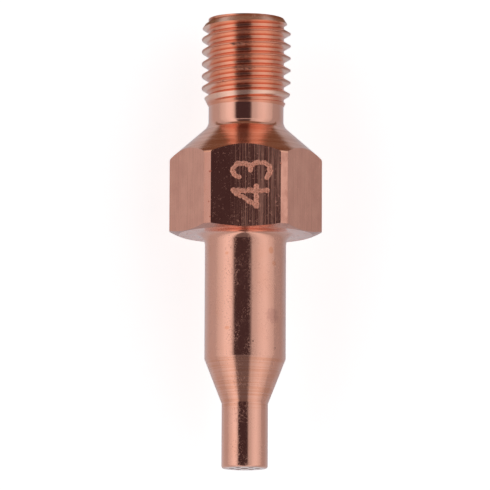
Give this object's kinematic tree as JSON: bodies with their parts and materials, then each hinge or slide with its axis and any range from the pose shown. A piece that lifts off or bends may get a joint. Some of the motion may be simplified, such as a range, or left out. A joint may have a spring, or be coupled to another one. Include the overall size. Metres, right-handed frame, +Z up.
{
  "type": "oxy-fuel cutting tip",
  "caption": "One-piece copper cutting tip with a threaded inlet end, conical seat, spanner hexagon, round nose, taper and slim drilled nozzle.",
  "frame": {"origin": "on the bench surface, under the middle of the tip's length, with the tip lying on one flat of its hexagon", "axes": "+Y along the tip's axis towards the threaded inlet end, -Y towards the nozzle face, +Z up, +X across the hexagon's corners"},
  "size_m": [0.016, 0.0476, 0.0143],
  "materials": {
    "copper": "copper, machined"
  },
  "bodies": {
    "root": {"cutting_tip": "copper"}
  },
  "joints": []
}
